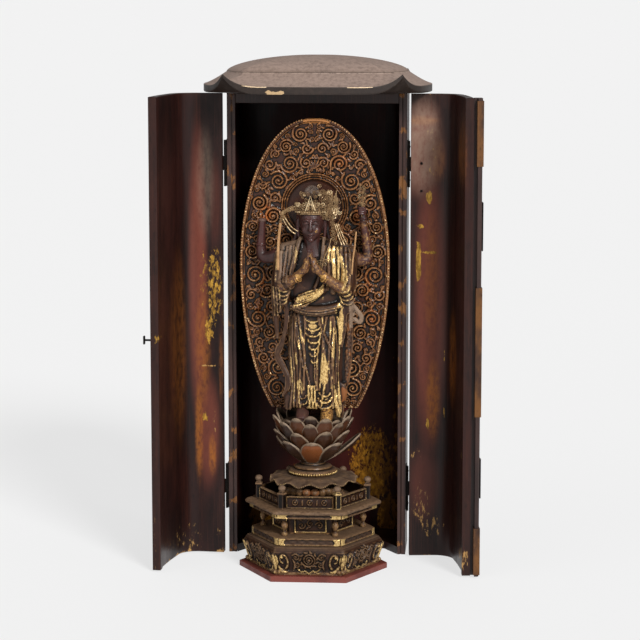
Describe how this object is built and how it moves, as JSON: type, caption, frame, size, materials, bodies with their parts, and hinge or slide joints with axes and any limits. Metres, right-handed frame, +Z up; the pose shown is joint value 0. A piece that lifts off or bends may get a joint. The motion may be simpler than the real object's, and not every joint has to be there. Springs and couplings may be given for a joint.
{
  "type": "buddhist altar cabinet",
  "caption": "Upright lacquered shrine cabinet with a curled roof and hinged curved doors, and a carved standing figure on a lotus and railed six-sided stand.",
  "frame": {"origin": "on the ground, midway across the plane of the body's front edges; the stand's base board covers it", "axes": "+Z up, -Y out of the open front, +X to the viewer's right"},
  "size_m": [0.3858, 0.258, 0.5895],
  "materials": {
    "red_lacquer": "worn dark red lacquer on wood",
    "black_lacquer": "worn black lacquer on wood",
    "roof_lacquer": "dusty brown-black lacquer",
    "brick_lacquer": "worn brick red lacquer",
    "carved_wood": "dark carved wood, traces of gilding",
    "gilt_wood": "worn gilding on carved wood",
    "crown_metal": "tarnished thin brass",
    "gilt_metal": "worn gilt metal",
    "iron": "blackened iron"
  },
  "bodies": {
    "cabinet": {"base_board": "brick_lacquer", "beaded_disc": "carved_wood", "cabinet_shell": "black_lacquer", "carved_tier": "carved_wood", "ceiling_board": "red_lacquer", "cloud_mount": "carved_wood", "crown": "crown_metal", "figure": "gilt_wood", "floor_board": "red_lacquer", "hinge_left_lower_body_leaf": "iron", "hinge_left_upper_body_leaf": "iron", "hinge_right_lower_body_leaf": "iron", "hinge_right_upper_body_leaf": "iron", "leaf_dish": "carved_wood", "lotus": "carved_wood", "lower_moulding": "carved_wood", "mandorla": "carved_wood", "mandorla_post": "carved_wood", "pendant_strip_left": "crown_metal", "pendant_strip_right": "crown_metal", "railing_panel_1": "carved_wood", "railing_panel_2": "carved_wood", "railing_panel_3": "carved_wood", "railing_panel_4": "carved_wood", "railing_panel_5": "carved_wood", "railing_panel_6": "carved_wood", "railing_post_1": "carved_wood", "railing_post_2": "carved_wood", "railing_post_3": "carved_wood", "railing_post_4": "carved_wood", "railing_post_5": "carved_wood", "railing_post_6": "carved_wood", "roof": "roof_lacquer", "stile_left": "black_lacquer", "stile_right": "black_lacquer", "top_rail": "black_lacquer", "upper_plate": "carved_wood", "waist": "carved_wood", "waist_baluster_1": "carved_wood", "waist_baluster_2": "carved_wood", "waist_baluster_3": "carved_wood", "waist_baluster_4": "carved_wood", "waist_baluster_5": "carved_wood", "waist_baluster_6": "carved_wood"},
    "left_door": {"door_left": "red_lacquer", "latch_pin": "iron", "hinge_left_lower_door_leaf": "iron", "hinge_left_upper_door_leaf": "iron"},
    "right_door": {"door_right": "red_lacquer", "astragal": "black_lacquer", "astragal_mount_top": "gilt_metal", "astragal_mount_middle": "gilt_metal", "astragal_mount_bottom": "gilt_metal", "astragal_fitting_upper": "iron", "astragal_fitting_lower": "iron", "hinge_right_lower_door_leaf": "iron", "hinge_right_upper_door_leaf": "iron"}
  },
  "joints": [
    {"name": "left_door_hinge", "type": "hinge", "parent": "cabinet", "child": "left_door", "pos_m": [-0.107, -0.002, 0], "axis": [0, 0, -1], "range_deg": [-52, 75]},
    {"name": "right_door_hinge", "type": "hinge", "parent": "cabinet", "child": "right_door", "pos_m": [0.107, -0.002, 0], "axis": [0, 0, 1], "range_deg": [-52, 75]}
  ]
}
